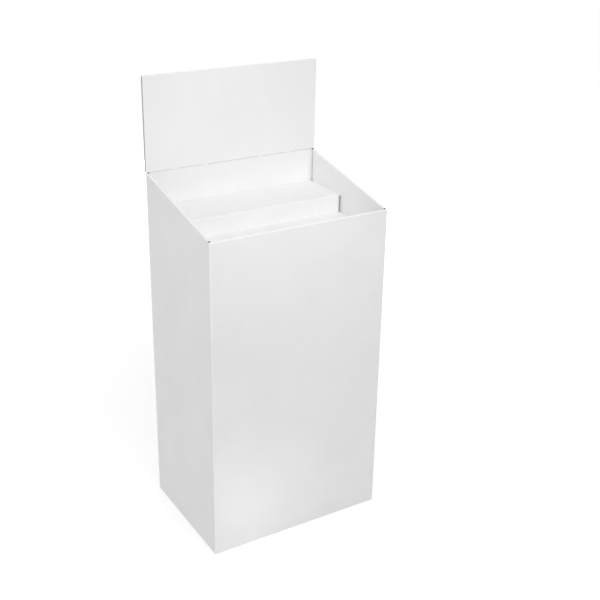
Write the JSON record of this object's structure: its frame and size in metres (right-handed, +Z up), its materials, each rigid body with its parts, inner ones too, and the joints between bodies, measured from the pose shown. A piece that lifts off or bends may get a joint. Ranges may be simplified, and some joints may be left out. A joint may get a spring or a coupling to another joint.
{
  "type": "tiered display stand",
  "caption": "Floor-standing display bin of folded white corrugated board: stepped product decks between sloping side walls, a lift-out core, and a two-ply header that folds forward.",
  "frame": {"origin": "centre of the footprint, on the floor", "axes": "+Z up, -Y to the front where a shopper stands, +X to the right seen from the front"},
  "size_m": [0.45, 0.3234, 1.07],
  "materials": {
    "coated_board": "white clay coat",
    "kraft_board": "plain kraft liner"
  },
  "bodies": {
    "sleeve": {"front_wall": "coated_board", "left_wall": "coated_board", "right_wall": "coated_board", "back_wall": "coated_board", "glue_flap": "coated_board", "front_rim": "coated_board", "left_rim": "coated_board", "right_rim": "coated_board", "front_hem": "coated_board", "left_hem": "coated_board", "right_hem": "coated_board"},
    "header": {"header_panel": "coated_board", "header_rim": "coated_board", "header_back": "coated_board"},
    "front_flap": {"front_bottom_flap": "coated_board"},
    "back_flap": {"back_bottom_flap": "coated_board"},
    "left_flap": {"left_bottom_flap": "coated_board"},
    "right_flap": {"right_bottom_flap": "coated_board"},
    "core": {"left_core_board": "kraft_board", "right_core_board": "kraft_board", "cross_core_board": "kraft_board"},
    "tier": {"upper_deck": "coated_board", "riser": "coated_board", "lower_deck": "coated_board", "back_skirt": "coated_board", "front_skirt": "coated_board", "upper_left_flange": "coated_board", "upper_right_flange": "coated_board", "lower_left_flange": "coated_board", "lower_right_flange": "coated_board"}
  },
  "joints": [
    {"name": "header_fold", "type": "hinge", "parent": "sleeve", "child": "header", "pos_m": [0, 0.1552, 0.85], "axis": [1, 0, 0], "range_deg": [0, 101]},
    {"name": "core_lift", "type": "slide", "parent": "sleeve", "child": "core", "axis": [0, 0, 1], "range_m": [0, 0.86]},
    {"name": "tier_lift", "type": "slide", "parent": "core", "child": "tier", "axis": [0, 0, 1], "range_m": [0, 0.25]},
    {"name": "front_flap_fold", "type": "hinge", "parent": "sleeve", "child": "front_flap", "pos_m": [0, -0.1585, 0.00015], "axis": [-1, 0, 0], "range_deg": [0, 90]},
    {"name": "back_flap_fold", "type": "hinge", "parent": "sleeve", "child": "back_flap", "pos_m": [0, 0.1552, 0.00015], "axis": [1, 0, 0], "range_deg": [0, 90]},
    {"name": "left_flap_fold", "type": "hinge", "parent": "sleeve", "child": "left_flap", "pos_m": [-0.22185, -0.00165, 0.00015], "axis": [0, 1, 0], "range_deg": [0, 90]},
    {"name": "right_flap_fold", "type": "hinge", "parent": "sleeve", "child": "right_flap", "pos_m": [0.22185, -0.00165, 0.00015], "axis": [0, -1, 0], "range_deg": [0, 90]}
  ]
}
